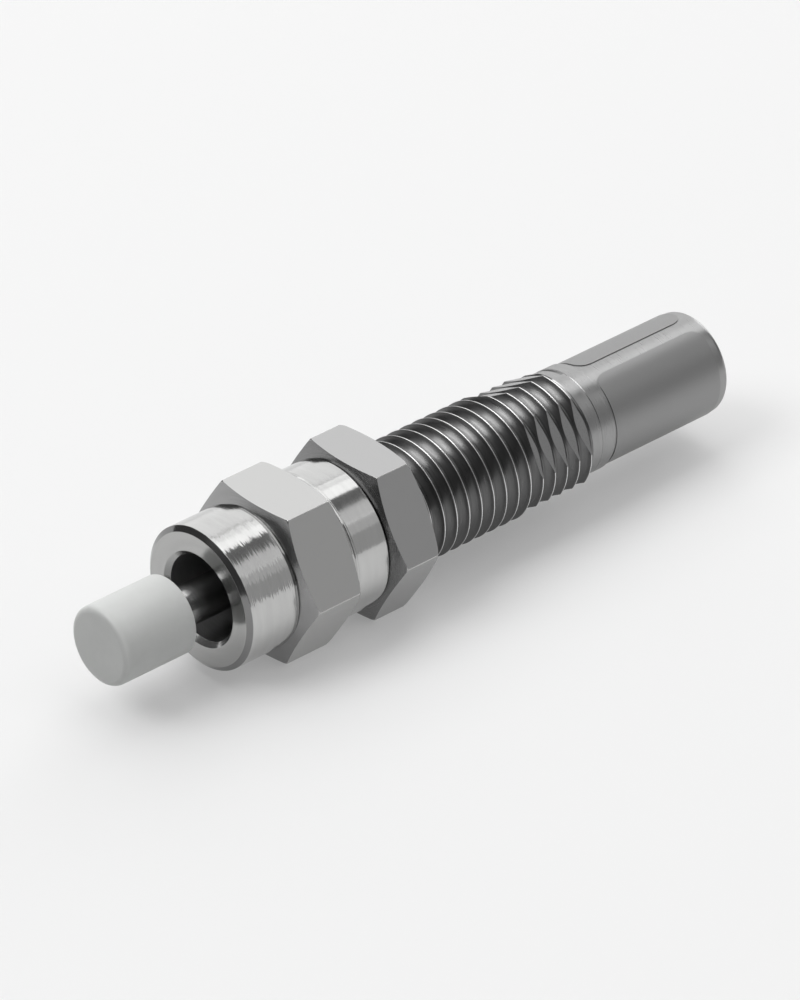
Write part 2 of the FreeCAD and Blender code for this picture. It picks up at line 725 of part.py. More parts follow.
def build_return_spring():
    body = new_body("return_spring")
    wire = dim.spring_wire / 2
    mean = dim.spring_mean_diameter / 2
    bevel = wire * (math.sqrt(2) - 1)
    sketch = outline(body, "spring_wire_section", [
        (NONE, mean - bevel),
        (wire - bevel, mean - wire),
        (wire + bevel, mean - wire),
        (wire * 2, mean - bevel),
        (wire * 2, mean + bevel),
        (wire + bevel, mean + wire),
        (wire - bevel, mean + wire),
        (NONE, mean + bevel),
    ])
    front = washer_rear + dim.spring_play
    length = seat_front - dim.spring_play - front
    pitch = (length - dim.spring_wire) / dim.spring_turns
    coil = body.newObject("PartDesign::AdditiveHelix", "spring_coil")
    coil.Profile = sketch
    coil.ReferenceAxis = (sketch, ["H_Axis"])
    coil.Mode = "pitch-turns-angle"
    coil.setExpression("Pitch", pitch.text)
    coil.setExpression("Turns", dim.spring_turns.text)
    body.Tip = coil
    register(body, front)


build_stop_sleeve()
build_lock_nut()
build_housing()
build_rear_label()
build_buffer()
build_piston_rod()
build_front_seals()
build_bearing()
build_pressure_tube()
build_tube_end()
build_piston_set()
build_return_spring()
doc.recompute()


def check_document():
    """Stop before writing if a feature failed or a sub-part has no sound solid."""
    for item in doc.Objects:
        if "Invalid" in item.State or "Error" in item.State:
            raise RuntimeError(f"{item.Name} failed: {item.State}")
    for piece in pieces:
        if piece.Shape.isNull() or not piece.Shape.isValid() or not piece.Shape.Solids:
            raise RuntimeError(f"{piece.Label} has no sound solid")


def write_pieces():
    os.makedirs("parts", exist_ok=True)
    for piece in pieces:
        piece.Shape.exportStep(os.path.join("parts", f"{piece.Label}.step"))
        box = piece.Shape.BoundBox
        print(f"{piece.Label}: x {box.XMin:.2f} to {box.XMax:.2f}, volume {piece.Shape.Volume:.2f}")


check_document()
write_pieces()
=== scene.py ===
import math

import bmesh
import bpy
from mathutils import Matrix, Vector


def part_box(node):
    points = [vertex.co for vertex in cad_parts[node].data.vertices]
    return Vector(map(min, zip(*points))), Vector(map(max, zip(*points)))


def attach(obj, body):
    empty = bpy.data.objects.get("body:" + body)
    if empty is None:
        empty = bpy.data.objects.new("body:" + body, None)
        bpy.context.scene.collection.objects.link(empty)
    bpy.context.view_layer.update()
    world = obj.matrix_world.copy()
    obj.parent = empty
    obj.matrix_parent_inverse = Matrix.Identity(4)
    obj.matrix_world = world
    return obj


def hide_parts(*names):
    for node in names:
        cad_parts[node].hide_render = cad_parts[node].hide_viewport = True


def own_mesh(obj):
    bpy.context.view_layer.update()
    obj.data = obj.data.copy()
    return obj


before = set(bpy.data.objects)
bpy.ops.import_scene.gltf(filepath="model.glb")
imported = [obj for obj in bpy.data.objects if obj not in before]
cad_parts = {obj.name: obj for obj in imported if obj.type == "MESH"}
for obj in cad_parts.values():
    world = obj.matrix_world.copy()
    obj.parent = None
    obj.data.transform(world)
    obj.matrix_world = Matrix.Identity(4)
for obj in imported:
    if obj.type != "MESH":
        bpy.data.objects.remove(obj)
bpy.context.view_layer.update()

# Shapes are drawn in millimetres and scaled to metres when a piece is finished. The turn of a point
# about the X axis is counted in degrees from the top, +Z, towards the viewer's side, -Y.
MM = 0.001
SEGMENTS = 192
SMALL_EDGE = 0.03
FINE_BEVEL = 0.02

# How near to zero a normal's X part, and to a plane a face's middle, have to be to count as on a flat
LEVEL = 0.01
CLOSE = 0.002

THREAD_PITCH = 1.0
THREAD_CREST = 3.95
THREAD_ROOT = 3.40
NECK_RADIUS = 3.45
REAR_RADIUS = 3.32
ACROSS_FLATS = 10.0
HEX_RADIUS = ACROSS_FLATS / 2 / math.cos(math.radians(30))
INTERNAL_THREAD_RADIUS = 4.0
THREAD_MOUTH_RADIUS = 4.25


# Meshes

def new_object(name, vertices, faces):
    mesh = bpy.data.meshes.new(name)
    mesh.from_pydata(vertices, [], faces)
    build = bmesh.new()
    build.from_mesh(mesh)
    bmesh.ops.recalc_face_normals(build, faces=build.faces)
    build.to_mesh(mesh)
    build.free()
    obj = bpy.data.objects.new(name, mesh)
    bpy.context.scene.collection.objects.link(obj)
    return obj


def around(x, radius, degrees):
    turn = math.radians(degrees)
    return (x, -radius * math.sin(turn), radius * math.cos(turn))


def lathe(name, outline):
    """A solid turned about the X axis from its closed outline of (x, radius)."""
    vertices = []
    rings = []
    for x, radius in outline:
        count = SEGMENTS if radius > 0 else 1
        rings.append(range(len(vertices), len(vertices) + count))
        vertices += [around(x, radius, 360 * j / SEGMENTS) for j in range(count)]
    faces = []
    for first, second in zip(rings, rings[1:] + rings[:1]):
        if len(first) == 1 and len(second) == 1:
            continue
        for j in range(SEGMENTS):
            k = (j + 1) % SEGMENTS
            corners = [
                first[j % len(first)], second[j % len(second)],
                second[k % len(second)], first[k % len(first)],
            ]
            faces.append(list(dict.fromkeys(corners)))
    return new_object(name, vertices, faces)


def softened(corners, step=16):
    """An outline whose corners given as (x, radius, size) are rounded by that size, in steps of degrees."""
    points = []
    for i, corner in enumerate(corners):
        here = Vector(corner[:2])
        if len(corner) == 2:
            points.append(corner)
            continue
        before = (Vector(corners[i - 1][:2]) - here).normalized()
        after = (Vector(corners[(i + 1) % len(corners)][:2]) - here).normalized()
        half = before.angle(after) / 2
        reach = corner[2] / math.tan(half)
        centre = here + (before + after).normalized() * corner[2] / math.sin(half)
        start = here + before * reach - centre
        end = here + after * reach - centre
        steps = math.ceil((180 - math.degrees(2 * half)) / step)
        points += [tuple(centre + start.slerp(end, k / steps) * corner[2]) for k in range(steps + 1)]
    return points


def prism(name, corners, half_width, turn):
    """A block with its (x, height) outline, spread sideways, turned about the X axis."""
    spin = Matrix.Rotation(math.radians(turn), 3, "X")
    vertices = [
        spin @ Vector((x, side * half_width, height))
        for side in (-1, 1) for x, height in corners
    ]
    count = len(corners)
    faces = [list(range(count)), list(range(count, 2 * count))]
    faces += [[i, (i + 1) % count, count + (i + 1) % count, count + i] for i in range(count)]
    return new_object(name, [tuple(v) for v in vertices], faces)


def hexagon_bar(name, x_start, x_end, rounding=0.08):
    """A hexagon bar along the X axis whose six long edges are slightly rounded."""
    middle = (ACROSS_FLATS / 2 - rounding) / math.cos(math.radians(30))
    vertices = []
    for x in (x_start, x_end):
        for corner in range(30, 360, 60):
            centre = Vector(around(x, middle, corner))
            for step in (-30, -10, 10, 30):
                offset = Vector(around(0, rounding, corner + step))
                vertices.append(tuple(centre + offset))
    count = len(vertices) // 2
    faces = [list(range(count)), list(range(count, 2 * count))]
    faces += [[i, (i + 1) % count, count + (i + 1) % count, count + i] for i in range(count)]
    return new_object(name, vertices, faces)


def apply_modifiers(obj):
    bpy.context.view_layer.update()
    evaluated = obj.evaluated_get(bpy.context.evaluated_depsgraph_get())
    mesh = bpy.data.meshes.new_from_object(evaluated)
    obj.modifiers.clear()
    obj.data = mesh


def combine(base, operation, tool):
    """Intersect or cut the base with a tool, which is used up."""
    modifier = base.modifiers.new("combine", "BOOLEAN")
    modifier.operation = operation
    modifier.solver = "EXACT"
    modifier.object = tool
    apply_modifiers(base)
    bpy.data.objects.remove(tool)


def bevel(obj, width, segments=2, angle=35):
    modifier = obj.modifiers.new("bevel", "BEVEL")
    modifier.width = width
    modifier.segments = segments
    modifier.limit_method = "ANGLE"
    modifier.angle_limit = math.radians(angle)
    apply_modifiers(obj)


def finish_piece(obj, body, material, nodes, sharp=40):
    """Shade a piece so that its large faces stay true, scale it to metres and tie it to the frame."""
    obj.data.shade_smooth()
    obj.data.set_sharp_from_angle(angle=math.radians(sharp))
    modifier = obj.modifiers.new("true_faces", "WEIGHTED_NORMAL")
    modifier.keep_sharp = True
    apply_modifiers(obj)
    obj.data.transform(Matrix.Scale(MM, 4))
    obj.data.materials.clear()
    obj.data.materials.append(material)
    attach(obj, body)
    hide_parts(*nodes)


def dress(obj, material, belongs):
    """Give another material to the faces that belong to it, by their middle, in millimetres, and normal."""
    obj.data.materials.append(material)
    for face in obj.data.polygons:
        if belongs(face.center / MM, face.normal):
            face.material_index = len(obj.data.materials) - 1


# Materials

def node_material(name):
    material = bpy.data.materials.new(name)
    material.use_nodes = True
    tree = material.node_tree
    return material, tree.nodes, tree.links, tree.nodes["Principled BSDF"]


def axis_coordinates(nodes, links):
    """Position along the axis and distance from it, in metres."""
    coordinates = nodes.new("ShaderNodeTexCoord")
    split = nodes.new("ShaderNodeSeparateXYZ")
    links.new(coordinates.outputs["Object"], split.inputs[0])
    side = nodes.new("ShaderNodeCombineXYZ")
    links.new(split.outputs["Y"], side.inputs["Y"])
    links.new(split.outputs["Z"], side.inputs["Z"])
    distance = nodes.new("ShaderNodeVectorMath")
    distance.operation = "LENGTH"
    links.new(side.outputs[0], distance.inputs[0])
    return coordinates.outputs["Object"], split.outputs["X"], distance.outputs["Value"]


def turned_vector(nodes, links, fine, coarse):
    """A texture place that makes rings: fine along the axis and outwards, coarse around it."""
    place, x, distance = axis_coordinates(nodes, links)
    join = nodes.new("ShaderNodeCombineXYZ")
    for source, target in ((x, "X"), (distance, "Y")):
        scale = nodes.new("ShaderNodeMath")
        scale.operation = "MULTIPLY"
        scale.inputs[1].default_value = fine
        links.new(source, scale.inputs[0])
        links.new(scale.outputs[0], join.inputs[target])
    drift = nodes.new("ShaderNodeVectorMath")
    drift.operation = "SCALE"
    drift.inputs["Scale"].default_value = coarse
    links.new(place, drift.inputs[0])
    total = nodes.new("ShaderNodeVectorMath")
    links.new(join.outputs[0], total.inputs[0])
    links.new(drift.outputs[0], total.inputs[1])
    return total.outputs[0]


def noise(nodes, links, vector, scale, detail=4.0, roughness=0.6):
    texture = nodes.new("ShaderNodeTexNoise")
    texture.inputs["Scale"].default_value = scale
    texture.inputs["Detail"].default_value = detail
    texture.inputs["Roughness"].default_value = roughness
    links.new(vector, texture.inputs["Vector"])
    return texture.outputs["Fac"]


def spread(nodes, links, value, low, high, low_in=0.3, high_in=0.7):
    """Carry a value from its own range, by default that of most noise, over to low and high."""
    ramp = nodes.new("ShaderNodeMapRange")
    ramp.inputs["From Min"].default_value = low_in
    ramp.inputs["From Max"].default_value = high_in
    ramp.inputs["To Min"].default_value = low
    ramp.inputs["To Max"].default_value = high
    links.new(value, ramp.inputs["Value"])
    return ramp.outputs["Result"]


def tint(nodes, links, value, dark, light):
    mix = nodes.new("ShaderNodeMix")
    mix.data_type = "RGBA"
    mix.inputs["A"].default_value = (*dark, 1)
    mix.inputs["B"].default_value = (*light, 1)
    links.new(value, mix.inputs["Factor"])
    return mix.outputs["Result"]


GRAIN_DEPTH = 0.000006


def add_bump(nodes, links, shader, height, strength):
    bump = nodes.new("ShaderNodeBump")
    bump.inputs["Strength"].default_value = strength
    bump.inputs["Distance"].default_value = GRAIN_DEPTH
    links.new(height, bump.inputs["Height"])
    links.new(bump.outputs["Normal"], shader.inputs["Normal"])


def lean_round_axis(nodes, links, shader, marks, lean):
    """Tilt the surface a little round the axis, each turning mark by its own amount."""
    coordinates = nodes.new("ShaderNodeTexCoord")
    cross = nodes.new("ShaderNodeVectorMath")
    cross.operation = "CROSS_PRODUCT"
    cross.inputs[0].default_value = (1, 0, 0)
    links.new(coordinates.outputs["Object"], cross.inputs[1])
    unit = nodes.new("ShaderNodeVectorMath")
    unit.operation = "NORMALIZE"
    links.new(cross.outputs[0], unit.inputs[0])
    direction = nodes.new("ShaderNodeVectorTransform")
    direction.vector_type = "VECTOR"
    direction.convert_from = "OBJECT"
    direction.convert_to = "WORLD"
    links.new(unit.outputs[0], direction.inputs[0])
    tilt = nodes.new("ShaderNodeVectorMath")
    tilt.operation = "SCALE"
    links.new(direction.outputs[0], tilt.inputs[0])
    links.new(spread(nodes, links, marks, -lean, lean, 0.25, 0.75), tilt.inputs["Scale"])
    geometry = nodes.new("ShaderNodeNewGeometry")
    total = nodes.new("ShaderNodeVectorMath")
    links.new(geometry.outputs["Normal"], total.inputs[0])
    links.new(tilt.outputs[0], total.inputs[1])
    normal = nodes.new("ShaderNodeVectorMath")
    normal.operation = "NORMALIZE"
    links.new(total.outputs[0], normal.inputs[0])
    links.new(normal.outputs[0], shader.inputs["Normal"])


def varied(nodes, links, value, colour, variation):
    """The colour, a little darker and lighter with the value."""
    low = tuple(c * (1 - variation) for c in colour)
    high = tuple(min(1.0, c * (1 + variation)) for c in colour)
    return tint(nodes, links, spread(nodes, links, value, 0, 1), low, high)


QUARTER_TURN = 0.25
BRUSHED = 0.7


def turned_metal(name, colour, roughness, lean=0.0, thread=False):
    """Machined metal whose turning marks run round the axis."""
    material, nodes, links, shader = node_material(name)
    shader.inputs["Metallic"].default_value = 1.0
    shader.inputs["Anisotropic"].default_value = BRUSHED
    shader.inputs["Anisotropic Rotation"].default_value = QUARTER_TURN
    tangent = nodes.new("ShaderNodeTangent")
    tangent.direction_type = "RADIAL"
    tangent.axis = "X"
    links.new(tangent.outputs[0], shader.inputs["Tangent"])
    marks = noise(nodes, links, turned_vector(nodes, links, fine=15000, coarse=600), 1.0, detail=2.0)
    broad = noise(nodes, links, turned_vector(nodes, links, fine=1800, coarse=300), 1.0)
    finish = varied(nodes, links, broad, colour, variation=0.04)
    # A thread gets painted shade on its flanks and roots and a painted highlight on its crests
    if thread:
        finish = painted_thread_shade(nodes, links, finish)
    links.new(finish, shader.inputs["Base Color"])
    links.new(spread(nodes, links, marks, roughness * 0.8, roughness * 1.25), shader.inputs["Roughness"])
    if lean:
        lean_round_axis(nodes, links, shader, marks, lean)
    return material


def scaled(nodes, links, colour, factor):
    mix = nodes.new("ShaderNodeVectorMath")
    mix.operation = "SCALE"
    links.new(colour, mix.inputs[0])
    links.new(factor, mix.inputs["Scale"])
    return mix.outputs[0]


# Painted shade on the thread's flanks and roots, as shares of its colour; its crests keep the full colour
# as a painted highlight
FLANK_SHADE = 0.22
ROOT_SHADE = 0.3
CREST_HIGHLIGHT_RANGE = (0.003928, 0.003942)
ROOT_RANGE = (0.00340, 0.00348)
FLANK_RANGE = (0.25, 0.6)


def painted_thread_shade(nodes, links, finish):
    """Painted shade on the thread: darken its steep flanks and its roots; its crests keep the full colour,
    a painted highlight.
    """
    coordinates = nodes.new("ShaderNodeTexCoord")
    split = nodes.new("ShaderNodeSeparateXYZ")
    links.new(coordinates.outputs["Normal"], split.inputs[0])
    steep = nodes.new("ShaderNodeMath")
    steep.operation = "ABSOLUTE"
    links.new(split.outputs["X"], steep.inputs[0])
    flank = spread(nodes, links, steep.outputs[0], 1.0, FLANK_SHADE, *FLANK_RANGE)
    distance = axis_coordinates(nodes, links)[2]
    crest = spread(nodes, links, distance, 0.0, 1.0, *CREST_HIGHLIGHT_RANGE)
    shade = nodes.new("ShaderNodeMath")
    shade.operation = "MAXIMUM"
    links.new(flank, shade.inputs[0])
    links.new(crest, shade.inputs[1])
    root = spread(nodes, links, distance, ROOT_SHADE, 1.0, *ROOT_RANGE)
    return scaled(nodes, links, scaled(nodes, links, finish, shade.outputs[0]), root)


def smooth_finish(name, colour, roughness, grain, metallic=0.0, bump=0.15, variation=0.05, gloss=0.15):
    """A plain finish with a fine grain in its colour, gloss and surface."""
    material, nodes, links, shader = node_material(name)
    shader.inputs["Metallic"].default_value = metallic
    coordinates = nodes.new("ShaderNodeTexCoord")
    fine = noise(nodes, links, coordinates.outputs["Object"], grain)
    links.new(varied(nodes, links, fine, colour, variation), shader.inputs["Base Color"])
    rough = spread(nodes, links, fine, roughness * (1 - gloss), roughness * (1 + gloss))
    links.new(rough, shader.inputs["Roughness"])
    add_bump(nodes, links, shader, fine, bump)
    return material


HONED = {"metallic": 1.0, "bump": 0.01, "variation": 0.01, "gloss": 0.04}
BRIGHT = (0.52, 0.52, 0.515)

plated_steel = turned_metal("plated_steel", BRIGHT, 0.13, lean=0.065)
collar_steel = turned_metal("collar_steel", BRIGHT, 0.13, lean=0.012)
faced_steel = turned_metal("faced_steel", (0.43, 0.43, 0.425), 0.17)
# Painted shade: the corner cones and the stop face's chamfer are darker copies of the plated steel
cone_metal_painted_shade = turned_metal("cone_metal_painted_shade", (0.24, 0.24, 0.24), 0.24)
front_cone_metal_painted_shade = turned_metal("front_cone_metal_painted_shade", (0.33, 0.33, 0.33), 0.17)
chamfer_metal_painted_shade = turned_metal("chamfer_metal_painted_shade", (0.22, 0.22, 0.22), 0.12)
sleeve_flat = smooth_finish("sleeve_flat", (0.53, 0.53, 0.525), 0.30, 20000, **HONED)
nut_flat = smooth_finish("nut_flat", (0.44, 0.44, 0.44), 0.30, 20000, **HONED)
# Painted shade inside the sleeve's bore: a dark copy of the steel
bore_metal_painted_shade = turned_metal("bore_metal_painted_shade", (0.18, 0.18, 0.18), 0.50)
housing_steel = turned_metal("housing_steel", (0.33, 0.33, 0.33), 0.32, lean=0.012)
# The thread's colour is brighter than the other steel, so its crests read as bright lines: a painted
# highlight
thread_steel = turned_metal("thread_steel", (0.72, 0.72, 0.72), 0.33, thread=True)
wrench_flat = smooth_finish(
    "wrench_flat", (0.33, 0.33, 0.33), 0.30, 20000, metallic=1.0, bump=0.02, variation=0.02)
ground_steel = turned_metal("ground_steel", (0.46, 0.46, 0.46), 0.20)
spring_steel = smooth_finish("spring_steel", (0.42, 0.42, 0.44), 0.32, 9000, metallic=1.0)
bearing_bronze = turned_metal("bearing_bronze", (0.70, 0.50, 0.22), 0.28)
ring_plastic = smooth_finish("ring_plastic", (0.45, 0.33, 0.22), 0.45, 6000)
seal_rubber = smooth_finish("seal_rubber", (0.030, 0.030, 0.032), 0.50, 7000, variation=0.15)
foam_rubber = smooth_finish("foam_rubber", (0.075, 0.075, 0.080), 0.85, 4500, bump=0.8, variation=0.25)
label_foil = smooth_finish(
    "label_foil", (0.30, 0.30, 0.30), 0.44, 16000, metallic=1.0, bump=0.03, variation=0.02)


# Painted shade on the buffer's front face, which faces -X: its colour falls to this share there
FRONT_FACE_SHADE = 0.80
FRONT_FACE_SHADE_RANGE = (-0.97, -0.6)


def buffer_plastic():
    """White moulded plastic that lets a little light in, with painted shade that makes its front face,
    facing -X, a little darker.
    """
    material, nodes, links, shader = node_material("white_plastic")
    coordinates = nodes.new("ShaderNodeTexCoord")
    cloud = noise(nodes, links, coordinates.outputs["Object"], 500, detail=3.0)
    fine = noise(nodes, links, coordinates.outputs["Object"], 9000, detail=3.0)
    shade = spread(nodes, links, cloud, 0, 1)
    colour = tint(nodes, links, shade, (0.57, 0.58, 0.57), (0.61, 0.62, 0.61))
    facing = nodes.new("ShaderNodeSeparateXYZ")
    links.new(coordinates.outputs["Normal"], facing.inputs[0])
    front_face_shade = spread(nodes, links, facing.outputs["X"], FRONT_FACE_SHADE, 1.0, *FRONT_FACE_SHADE_RANGE)
    links.new(scaled(nodes, links, colour, front_face_shade), shader.inputs["Base Color"])
    links.new(spread(nodes, links, fine, 0.36, 0.46), shader.inputs["Roughness"])
    shader.inputs["Subsurface Weight"].default_value = 0.35
    shader.inputs["Subsurface Radius"].default_value = (1.0, 1.0, 1.0)
    shader.inputs["Subsurface Scale"].default_value = 0.0006
    add_bump(nodes, links, shader, fine, 0.12)
    return material


white_plastic = buffer_plastic()


# Housing: a threaded rod cut down to the housing's outline, with its bore and its wrench flats

# One pitch of the thread, as (distance after a crest, radius)
THREAD_PROFILE = [
    (-0.048, 3.922), (-0.024, 3.946), (0.0, THREAD_CREST), (0.024, 3.946), (0.048, 3.922),
    (0.09, 3.80), (0.17, 3.666), (0.30, 3.534), (0.43, 3.425),
    (0.50, THREAD_ROOT),
    (0.57, 3.425), (0.70, 3.534), (0.83, 3.666), (0.91, 3.80),
]
LAST_CREST_AT_TOP = 13.554
FIRST_CREST = -23
LAST_CREST = 0
PLAIN_TURNS = 2

# The last groove fills up to the neck between these turns
GROOVE_FROM = 0.2
FILL_START, FILL_END = 5, 32
OVER_NECK = 0.02


def ease(value, start, end):
    share = min(1.0, max(0.0, (value - start) / (end - start)))
    return share * share * (3 - 2 * share)


def threaded_rod():
    """A rod with a right-hand thread, plain after the last crest, longer than the thread at both ends."""
    rows = []
    for crest in range(FIRST_CREST, LAST_CREST + PLAIN_TURNS + 1):
        for offset, radius in THREAD_PROFILE:
            x = LAST_CREST_AT_TOP + (crest + offset) * THREAD_PITCH
            last_groove = crest == LAST_CREST and offset > GROOVE_FROM
            rows.append((x, THREAD_CREST if crest > LAST_CREST else radius, last_groove))
    vertices = []
    for j in range(SEGMENTS):
        turn = 360 * j / SEGMENTS
        filled = 1 - ease(turn, FILL_START, FILL_END)
        for x, radius, last_groove in rows:
            if last_groove:
                radius = max(radius, radius + (NECK_RADIUS + OVER_NECK - radius) * filled)
            vertices.append(around(x + THREAD_PITCH * turn / 360, radius, turn))
    height = len(rows)
    per_turn = len(THREAD_PROFILE)

    def index(row, column):
        if column == SEGMENTS:
            return row + per_turn
        return column * height + row

    faces = []
    for j in range(SEGMENTS):
        reach = height - 1 if j < SEGMENTS - 1 else height - 1 - per_turn
        faces += [
            [index(i, j), index(i, j + 1), index(i + 1, j + 1), index(i + 1, j)] for i in range(reach)
        ]
    front = [index(0, j) for j in range(SEGMENTS + 1)] + [index(i, 0) for i in range(per_turn - 1, 0, -1)]
    rear = [index(height - 1, j) for j in range(SEGMENTS)]
    rear += [index(i, SEGMENTS - 1) for i in range(height - 2, height - 2 - per_turn, -1)]
    for loop, x in ((front, rows[0][0] - 0.5), (rear, rows[-1][0] + 2)):
        centre = len(vertices)
        vertices.append((x, 0, 0))
        faces += [[a, b, centre] for a, b in zip(loop, loop[1:] + loop[:1])]
    return new_object("housing_thread", vertices, faces)


# The housing's outline, which its threaded piece and its smooth piece share at the seam
HOUSING_FRONT = -8.3
FRONT_RADIUS = 3.5
LEAD_IN_END = -7.5
THREAD_END = 13.74
NECK_START = 14.25
SEAM = 15.2
BODY_END = 26.05
BORE_RADIUS = 2.9
BORE_MOUTH = 0.15
OUTSIDE = 4.3

# Groove of the retaining ring in the bore
RING_START, RING_END, RING_RADIUS = -7.82, -7.4, 3.15

FLAT_TURNS = (-30, 60, 150, 240)
FLAT_HEIGHT = 3.5
FLAT_HALF_WIDTH = 2.6
FLAT_START, FLAT_END = 9.25, 14.7
FLAT_SLOPE_END = (9.7, FLAT_HEIGHT)
FLAT_SLOPE_TOP, FLAT_CUT_TOP = 4.0, 4.6

housing_thread = threaded_rod()
thread_limit = lathe("thread_limit", [
    (HOUSING_FRONT, BORE_RADIUS + BORE_MOUTH),
    (HOUSING_FRONT, FRONT_RADIUS),
    (LEAD_IN_END, OUTSIDE),
    (THREAD_END, OUTSIDE),
    (NECK_START, NECK_RADIUS),
    (SEAM - SMALL_EDGE, NECK_RADIUS),
    (SEAM, NECK_RADIUS - SMALL_EDGE),
    (SEAM, BORE_RADIUS),
    (RING_END, BORE_RADIUS),
    (RING_END, RING_RADIUS),
    (RING_START, RING_RADIUS),
    (RING_START, BORE_RADIUS),
    (HOUSING_FRONT + BORE_MOUTH, BORE_RADIUS),
])
combine(housing_thread, "INTERSECT", thread_limit)
for turn in FLAT_TURNS:
    flat = prism("flat", [
        (FLAT_START, FLAT_SLOPE_TOP),
        FLAT_SLOPE_END,
        (FLAT_END, FLAT_HEIGHT),
        (FLAT_END, FLAT_CUT_TOP),
        (FLAT_START, FLAT_CUT_TOP),
    ], FLAT_HALF_WIDTH, turn)
    combine(housing_thread, "DIFFERENCE", flat)


def on_wrench_flat(middle, normal):
    level = abs(normal.x) < LEVEL and middle.x > FLAT_START - 0.05
    return level and abs(middle.dot(normal) - FLAT_HEIGHT) < CLOSE


def on_neck(middle, normal):
    low = middle.x > THREAD_END - 0.04 and math.hypot(middle.y, middle.z) < NECK_RADIUS + SMALL_EDGE
    return low and abs(normal.x) < 0.3


finish_piece(housing_thread, "housing_set", thread_steel, ["housing"], sharp=38)
dress(housing_thread, housing_steel, on_neck)
dress(housing_thread, wrench_flat, on_wrench_flat)

NECK_END = 16.22
BORE_END = 24.9
FILL_HOLE_RADIUS = 0.51
FILL_HOLE_CHAMFER = 0.15

housing_rear = lathe("housing_rear", softened([
    (SEAM, BORE_RADIUS),
    (SEAM, NECK_RADIUS - SMALL_EDGE),
    (SEAM + SMALL_EDGE, NECK_RADIUS),
    (NECK_END, NECK_RADIUS, 0.04),
    (NECK_END, REAR_RADIUS),
    (BODY_END, REAR_RADIUS, 0.4),
    (BODY_END, FILL_HOLE_RADIUS + FILL_HOLE_CHAMFER),
    (BODY_END - FILL_HOLE_CHAMFER, FILL_HOLE_RADIUS),
    (BORE_END, FILL_HOLE_RADIUS),
    (BORE_END, BORE_RADIUS),
]))
finish_piece(housing_rear, "housing_set", housing_steel, ["housing"])


# Label foil, with a bare strip where its ends don't meet

FOIL_START, FOIL_END = 16.48, 25.23
FOIL_FIRST_TURN, FOIL_LAST_TURN = 18.4, 360.4
FOIL_CORNER = 0.85
FOIL_THICKNESS = 0.05
FOIL_STEPS = 240


def foil():
    """The foil wrapped round the rear end, with rounded corners."""
    inner, outer = REAR_RADIUS, REAR_RADIUS + FOIL_THICKNESS
    wrapped = FOIL_LAST_TURN - FOIL_FIRST_TURN
    turns = [FOIL_FIRST_TURN + wrapped * i / FOIL_STEPS for i in range(FOIL_STEPS + 1)]
    vertices = []
    for turn in turns:
        reach = math.radians(min(turn - FOIL_FIRST_TURN, FOIL_LAST_TURN - turn)) * outer
        inset = 0.0
        if reach < FOIL_CORNER:
            inset = FOIL_CORNER - math.sqrt(FOIL_CORNER ** 2 - (FOIL_CORNER - reach) ** 2)
        start, end = FOIL_START + inset, FOIL_END - inset
        for x, radius in ((start, inner), (start, outer), (end, outer), (end, inner)):
            vertices.append(around(x, radius, turn))
    faces = []
    for i in range(len(turns) - 1):
        a, b = 4 * i, 4 * (i + 1)
        faces += [[a + k, a + (k + 1) % 4, b + (k + 1) % 4, b + k] for k in range(4)]
    faces += [[0, 1, 2, 3], [4 * (len(turns) - 1) + k for k in range(4)]]
    return new_object("label_foil", vertices, faces)


finish_piece(foil(), "housing_set", label_foil, ["rear_label"])


# Stop sleeve and lock nut: turned from hexagon bar

CONE = math.tan(math.radians(20.7))
OVER = 0.01
FRONT_CORNER = 0.2
REAR_CORNER = 0.38
FRONT_EDGE = 0.05
REAR_EDGE = 0.08

SLEEVE_FACE = -14.12
CHAMFER_RADIUS = 4.22
CHAMFER_END = -13.87
FRONT_COLLAR_RADIUS = 4.55
FRONT_COLLAR_END = -10.43
UNDERCUT_RADIUS = 4.45
HEX_START, HEX_END = -10.27, -6.17
REAR_COLLAR_RADIUS = 4.75
REAR_COLLAR_START = -6.00
SLEEVE_REAR = -3.32
SLEEVE_REAR_CHAMFER = 0.12
SLEEVE_THREAD_START = -9.22
SLEEVE_BORE_RADIUS = 2.75
SLEEVE_BORE_MOUTH = 0.3

NUT_FRONT, NUT_REAR = -3.3, 0
NUT_FRONT_RADIUS, NUT_REAR_RADIUS = 4.5, 4.75
THREAD_MOUTH = THREAD_MOUTH_RADIUS - INTERNAL_THREAD_RADIUS


def cone_top(x, radius, side, rounding):
    """Where the corner cone from a face at x meets the hexagon's corners, which are rounded there."""
    return (x + side * (HEX_RADIUS + OVER - radius) * CONE, HEX_RADIUS + OVER, rounding)


# Which faces of the sleeve and the nut get which finish or painted shade. A face's lean is the X part of
# its normal.
SIDE_LEAN = 0.3
CHAMFER_LEAN = (0.7, 0.9)
CONE_LEAN = (0.9, 0.96)


def on_flat(middle, normal):
    return abs(normal.x) < LEVEL and abs(middle.dot(normal) - ACROSS_FLATS / 2) < CLOSE


def in_bore(middle, normal):
    inside = math.hypot(middle.y, middle.z) < INTERNAL_THREAD_RADIUS + 0.02
    return inside and middle.x > SLEEVE_FACE + SLEEVE_BORE_MOUTH + 0.01 and abs(normal.x) < CONE_LEAN[0]


def on_face(middle, normal):
    return abs(normal.x) > SIDE_LEAN


def on_cone(middle, normal):
    return middle.x > HEX_START - 0.03 and CONE_LEAN[0] < abs(normal.x) < CONE_LEAN[1]


def on_front_cone(middle, normal):
    return middle.x < -9.5 and on_cone(middle, normal) and normal.x < 0


def on_front_chamfer(middle, normal):
    outside = middle.x < CHAMFER_END + 0.01 and math.hypot(middle.y, middle.z) > CHAMFER_RADIUS - 0.02
    return outside and CHAMFER_LEAN[0] < abs(normal.x) < CHAMFER_LEAN[1]


def on_rear_collar(middle, normal):
    return middle.x > HEX_END - 0.03 and abs(normal.x) < SIDE_LEAN


